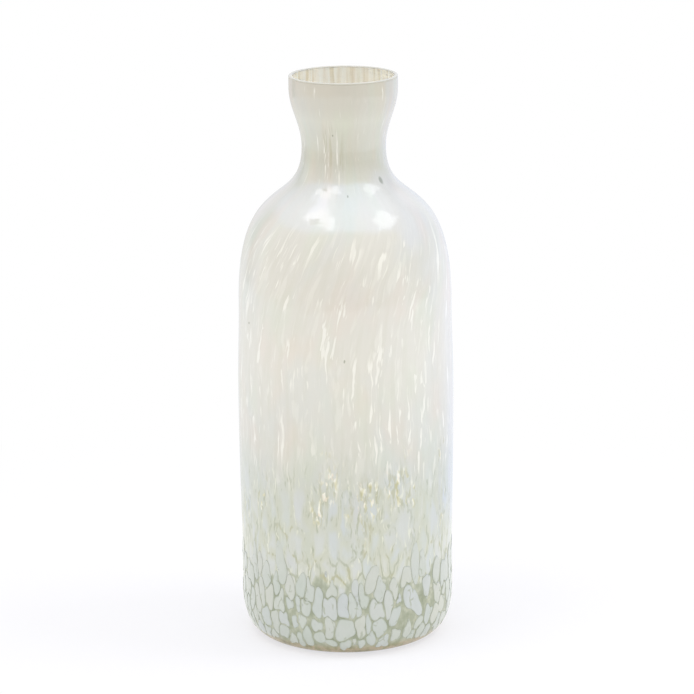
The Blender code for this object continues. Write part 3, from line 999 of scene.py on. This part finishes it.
def olive_glass_and_shade(graph, place):
    """The glass where it shows bare at the heel: dull olive, yellower and paler in patches; its own olive,
    darkened with painted shade seen through the thick glass.
    """
    return graph.ramp(graph.noise(place, *OLIVE_NOISE), OLIVE_AND_SHADE_CASTS)


def inside_look(graph):
    """The inner face: clear above, and round the heel milky with the backs of the chips, where a glow is
    painted for daylight through the wall.
    """
    place = graph.place()
    edge = graph.cells(bent(graph, place, *BACK_BEND), CELL_WIDTH)["Distance"]
    backs = graph.mix(graph.step(edge, *BACK_LINE), CHIP_BACK, SOFT_OLIVE)
    clear = graph.step(graph.parts(place)[2], *INSIDE_CLEARS)
    return {
        "Base Color": graph.mix(clear, backs, CLEAR_INSIDE),
        # Painted glow round the heel for daylight through the wall
        "Emission Color": backs,
        "Emission Strength": graph.step_evenly(clear, 0, 1, HEEL_DAYLIGHT, 0),
        "Transmission Weight": graph.step_evenly(clear, 0, 1, *INSIDE_PASSES),
        **GLASS_GLOSS,
    }


def glass_look(graph):
    """Faintly olive glass, whose tint at the heel is deep enough to look like a body colour; there and in
    the brown foot ring it also carries painted shade seen through the glass.
    """
    place = graph.place()
    height = graph.parts(place)[2]
    ring = graph.ramp(graph.noise(place, *RING_NOISE), FOOT_RING_AND_SHADE_CASTS)
    olive = graph.mix(graph.step(height, *RING_ENDS), olive_glass_and_shade(graph, place), ring)
    colour = graph.mix(graph.step(height, *COLOUR_CLEARS), olive, CLEAR_GLASS)
    outside = graph.step(graph.vector("LENGTH", graph.tall(place, 0)), *LIP_RADII)
    on_outside = graph.product(outside, graph.step(height, *LIP_SIDE_STARTS))
    at_lip = graph.most(on_outside, graph.step(height, *LIP_TOP_STARTS))
    passing = graph.product(graph.step(height, *GLASS_CLEARS), graph.step(at_lip, 0, 1, 1, 0))
    colour = graph.mix(at_lip, colour, LIP_COLOUR)
    return {"Base Color": colour, "Transmission Weight": passing, **GLASS_GLOSS}


def chip_look(graph):
    """Opal white glass, each chip with its own cast and some with cracks, greener towards its edge."""
    place = graph.attribute("place", "Vector")
    height = graph.math("DIVIDE", graph.parts(place)[2], HEIGHT)
    warmer = graph.step(height, *CHIPS_WARM)
    colour = graph.mix(warmer, graph.ramp(graph.attribute("tone"), CHIP_CASTS), UPPER_CHIP)
    colour = graph.mix(graph.clouds(place, *CHIP_CLOUDS), colour, DULL_CHIP, "MULTIPLY")
    drum = graph.tall(bent(graph, place, *CRACK_BEND), CRACK_SQUASH)
    edge = graph.cells(drum, CRACK_SPACING)["Distance"]
    crack = graph.product(graph.step(edge, *CRACK_LINE), patches(graph, place, *CRACK_PATCHES), CRACK_SHARE)
    colour = graph.mix(crack, colour, CRACK_COLOUR)
    # Darker and greener towards each chip's edge, broken in patches
    rim = graph.step(graph.attribute("inner"), *RIM_ENDS)
    rim = graph.product(rim, graph.step(height, *RIMS_FADE), patches(graph, place, *RIM_BREAK_PATCHES))
    colour = graph.mix(rim, colour, graph.mix(warmer, CHIP_RIM, UPPER_CHIP_RIM))
    return {"Base Color": colour, **gloss(graph, place)}


# Stage: floor, light, room and camera

WHITE = (1.0, 1.0, 1.0)
FLOOR_RADIUS = 3.0
FLOOR_STEPS = 96
FLOOR_FINISH = {"Base Color": (0.93, 0.93, 0.94, 1), "Roughness": 0.9, "Specular IOR Level": 0.0}
TABLE_ENDS = (0.95, 1.25)
FLOOR_DROP = 0.2 * MM
FLOOR_GLOW = (1.0, 0.995, 1.03)
NEAR_TABLE = (1.28, 1.28, 1.26)
NEAR_TABLE_ENDS = (0.12, 0.32)
CAMERA_GLOW_SHARE = 0.66
FADE_DISTANCES = (0.10, 0.40)
MIRROR_GLOW_SHARE = 0.6
SKY = 0.87
THROUGH_GLASS = (2.0, 1.88, 1.66)
WALL_RISES = (-4.0, 4.0)
HALO = (1.9, 2.2, 3.1)
GAP = (0.28, 0.46, 1.0)
LEFT_SOFTBOX = (2.5, 2.7, 3.3)
RIGHT_SOFTBOX = (2.1, 2.4, 3.1)
BOX_HEAD = (0.50, 0.68, 0.95)
SHEET_EDGE_FRONT = 57.0
SHEET_EDGE_SLOPE = 0.2
SHEET_SOFT_EDGE = 7.0
SOFT_EDGE = 3.5

# What the gloss mirrors, by azimuth from the front towards +X: far floor, wall, sheet and table
ROOM_RING = (
    (-180, 0.80, 0.82, 0.86), (-157, 0.80, 0.80, 0.82), (-138, 0.80, 0.86, 0.98),
    (-130, 0.46, 0.50, 0.52), (-122, 0.62, 0.64, 0.68), (-110, 0.88, 0.84, 0.90),
    (-95, 0.94, 0.90, 0.92), (-78, 0.74, 0.66, 0.60), (-35, 0.72, 0.60, 0.50),
    (-10, 0.50, 0.45, 0.40), (38, 0.52, 0.52, 0.52), (65, 0.54, 0.66, 0.76),
    (90, 0.46, 0.56, 0.62), (104, 0.50, 0.66, 1.00), (136, 0.82, 1.00, 1.34),
    (155, 0.84, 0.90, 1.10),
)
WALL_RING = (
    (-180, 0.86, 0.90, 1.02), (-157, 0.90, 0.90, 1.02), (-142, 0.60, 0.68, 0.80),
    (-135, 0.38, 0.46, 0.52), (-128, 0.38, 0.48, 0.52), (-120, 0.70, 0.80, 0.90),
    (-110, 0.90, 0.94, 1.02), (-97, 0.96, 0.94, 0.92), (-82, 0.70, 0.65, 0.60),
    (-35, 0.62, 0.54, 0.48), (-10, 0.46, 0.42, 0.36), (38, 0.44, 0.42, 0.38),
    (60, 0.38, 0.40, 0.44), (83, 0.28, 0.32, 0.42), (98, 0.32, 0.44, 0.60),
    (127, 0.42, 0.60, 0.90), (142, 0.66, 0.80, 1.05), (157, 0.84, 0.94, 1.22),
)
SHEET_RING = (
    (-180, 0.86, 1.06, 1.50), (-105, 0.80, 1.02, 1.46), (-30, 0.88, 1.12, 1.66),
    (30, 0.89, 1.15, 1.72), (105, 0.86, 1.18, 1.95),
)
TABLE_RING = (
    (-180, 0.80, 0.82, 0.86), (-150, 0.84, 0.88, 0.94), (-136, 0.95, 1.03, 1.15),
    (-112, 0.96, 1.04, 1.26), (-85, 0.94, 1.00, 1.14), (-58, 0.88, 0.84, 0.78),
    (25, 0.86, 0.85, 0.82), (55, 0.84, 0.98, 1.24), (88, 0.86, 1.08, 1.46),
    (106, 0.62, 0.76, 1.26), (136, 0.84, 1.02, 1.58), (152, 0.88, 0.96, 1.26),
)

# Softboxes: azimuth from the front towards +X, elevation, and half sizes, all in degrees
LEFT_BOX = (-63.0, 66.5, 40.0, 10.0)
LEFT_BOX_HEAD = (-63.0, 62.0, 21.0, 7.5)
RIGHT_BOX = (85.0, 55.0, 23.0, 9.0)
LEFT_HALO = (-98.0, 70.0, 20.0, 9.0)
RIGHT_GAP = (110.0, 32.0, 30.0, 18.0)
WIDE_SOFT_EDGE = 8.0
DIAMOND_EDGE = (1.15, 0.85)
RAGGED_NOISE = (1, 4, 2)
RAGGED_AROUND = 16.0
RAGGED_UP = 7.0

LAMP_DISTANCE = 1.5
LAMP_SIZE = 0.6
LEFT_LAMP_WATTS = 3.5
RIGHT_LAMP_WATTS = 5.0


def direction(azimuth, elevation):
    a = math.radians(azimuth)
    e = math.radians(elevation)
    return Vector((math.sin(a) * math.cos(e), -math.cos(a) * math.cos(e), math.sin(e)))


def off_centre(graph, way, window):
    """How far a direction is from a softbox's middle, around and up, each with the half size."""
    for angle, centre, half in zip(way, window[:2], window[2:]):
        yield graph.math("ABSOLUTE", graph.math("SUBTRACT", angle, centre)), half


def window_mask(graph, way, window, softness):
    """One inside a softbox's rectangle of directions and nothing outside it."""
    mask = 1.0
    for off, half in off_centre(graph, way, window):
        mask = graph.product(mask, graph.step(off, half + softness, half - softness))
    return mask


def diamond_mask(graph, way, window):
    shares = [graph.math("DIVIDE", off, half) for off, half in off_centre(graph, way, window)]
    return graph.step(graph.math("ADD", *shares), *DIAMOND_EDGE)


def ring_light(graph, azimuth, ring):
    """The colour that a ring of stops, which closes on its first, has at an azimuth in degrees."""
    stops = [((degrees + 180) / 360, colour) for degrees, *colour in (*ring, (180, *ring[0][1:]))]
    return graph.ramp(graph.step_evenly(azimuth, -180, 180), stops)


def make_world():
    """White to the camera, even light on the object, and a studio for its gloss to mirror."""
    world = bpy.data.worlds.new("studio")
    bpy.context.scene.world = world
    graph = Graph(world)
    world.cycles.sampling_method = "NONE"
    place = graph.place("Generated")
    east, north, up = graph.parts(place)
    elevation = graph.math("DEGREES", graph.math("ARCSINE", up))
    azimuth = graph.azimuth(east, north)

    floor_light = ring_light(graph, azimuth, ROOM_RING)
    room = graph.mix(graph.step(elevation, *WALL_RISES), floor_light, ring_light(graph, azimuth, WALL_RING))
    lowered = graph.product(graph.math("ABSOLUTE", azimuth), SHEET_EDGE_SLOPE)
    edge = graph.math("SUBTRACT", elevation, graph.math("SUBTRACT", SHEET_EDGE_FRONT, lowered))
    sheet = ring_light(graph, azimuth, SHEET_RING)
    room = graph.mix(graph.step(edge, -SHEET_SOFT_EDGE, SHEET_SOFT_EDGE), room, sheet)
    for window, shine in ((RIGHT_GAP, GAP), (LEFT_HALO, HALO)):
        room = graph.mix(window_mask(graph, (azimuth, elevation), window, WIDE_SOFT_EDGE), room, shine)
    ragged = graph.parts(graph.noise(place, *RAGGED_NOISE, "Color"))
    way = []
    for angle, torn, most in ((azimuth, ragged[0], RAGGED_AROUND), (elevation, ragged[1], RAGGED_UP)):
        way.append(graph.math("ADD", angle, graph.step_evenly(torn, 0, 1, -most, most)))
    for window, shine in ((LEFT_BOX, LEFT_SOFTBOX), (RIGHT_BOX, RIGHT_SOFTBOX)):
        room = graph.mix(window_mask(graph, way, window, SOFT_EDGE), room, shine)
    room = graph.mix(diamond_mask(graph, way, LEFT_BOX_HEAD), room, BOX_HEAD)

    path = graph.node("ShaderNodeLightPath", {}).outputs
    light = graph.mix(path["Is Glossy Ray"], (SKY, SKY, SKY), room)
    light = graph.mix(path["Is Transmission Ray"], light, THROUGH_GLASS)
    light = graph.mix(path["Is Camera Ray"], light, WHITE)
    graph.feed(graph.tree.nodes["Background"], {"Color": light, "Strength": 1})


def floor_look(graph):
    """A pale table that keeps the vase's shadow, and glows as the gloss should mirror it."""
    place = graph.place()
    east, north, _ = graph.parts(place)
    away = graph.vector("LENGTH", place)
    azimuth = graph.azimuth(east, north)
    path = graph.node("ShaderNodeLightPath", {}).outputs
    beyond = graph.step(away, *NEAR_TABLE_ENDS)
    mirrored = graph.mix(beyond, NEAR_TABLE, ring_light(graph, azimuth, TABLE_RING))
    ended = graph.step(away, *TABLE_ENDS)
    mirrored = graph.mix(ended, mirrored, ring_light(graph, azimuth, ROOM_RING))
    faded = graph.step(away, *FADE_DISTANCES)
    shown = graph.mix(path["Is Glossy Ray"], graph.mix(faded, FLOOR_GLOW, WHITE), mirrored)
    glow = graph.node("ShaderNodeEmission", {"Color": shown})
    shares = []
    for ray, far, least in (("Camera", faded, CAMERA_GLOW_SHARE), ("Glossy", ended, MIRROR_GLOW_SHARE)):
        shares.append(graph.product(path[f"Is {ray} Ray"], graph.step_evenly(far, 0, 1, least, 1)))
    glowing = graph.math("ADD", *shares)
    plain = graph.tree.nodes["Principled BSDF"].outputs["BSDF"]
    lit = graph.node("ShaderNodeMixShader", {0: glowing, 1: plain, 2: glow.outputs[0]})
    graph.feed(graph.tree.nodes["Material Output"], {"Surface": lit.outputs[0]})
    return FLOOR_FINISH


def make_floor():
    vertices = [(0, 0, -FLOOR_DROP)]
    for step in range(FLOOR_STEPS):
        angle = math.tau * step / FLOOR_STEPS
        vertices.append((FLOOR_RADIUS * math.cos(angle), FLOOR_RADIUS * math.sin(angle), -FLOOR_DROP))
    faces = [(0, step + 1, (step + 1) % FLOOR_STEPS + 1) for step in range(FLOOR_STEPS)]
    mesh = bpy.data.meshes.new("floor")
    mesh.from_pydata(vertices, [], faces)
    floor = new_object("floor", mesh)
    mesh.materials.append(new_material("pale_floor", floor_look))


def make_lamp(name, window, watts):
    lamp = bpy.data.lights.new(name, "AREA")
    lamp.shape = "DISK"
    lamp.size = LAMP_SIZE
    lamp.energy = watts
    made = new_object(name, lamp)
    towards = direction(*window[:2])
    made.location = towards * LAMP_DISTANCE + Vector((0, 0, HEIGHT / 2))
    made.rotation_euler = towards.to_track_quat("Z", "Y").to_euler()
    made.visible_glossy = False


def make_camera():
    data = bpy.data.cameras.new("camera")
    data.sensor_width = SENSOR_WIDTH
    data.lens = FOCAL_PIXELS / IMAGE_WIDTH * SENSOR_WIDTH
    camera = new_object("camera", data)
    turn = Matrix.Rotation(CAMERA_YAW, 4, "Z") @ Matrix.Rotation(math.pi / 2 - CAMERA_DOWN, 4, "X")
    camera.matrix_world = Matrix.Translation(CAMERA_PLACE) @ turn @ Matrix.Rotation(CAMERA_ROLL, 4, "Z")
    bpy.context.scene.camera = camera


def main():
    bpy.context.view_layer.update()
    make_camera()
    make_world()
    make_floor()
    make_lamp("left_lamp", LEFT_BOX, LEFT_LAMP_WATTS)
    make_lamp("right_lamp", RIGHT_BOX, RIGHT_LAMP_WATTS)
    bpy.context.scene.view_settings.view_transform = "Standard"
    outline = Outline()
    glass = [new_material("olive_glass_and_shade", glass_look), new_material("clear_glass_inside", inside_look)]
    make_glass(outline, glass)
    make_skin(outline, [new_material("milky_skin", skin_look), new_material("skin_back", back_look)])
    make_chips(outline, new_material("opal_chip", chip_look))


main()
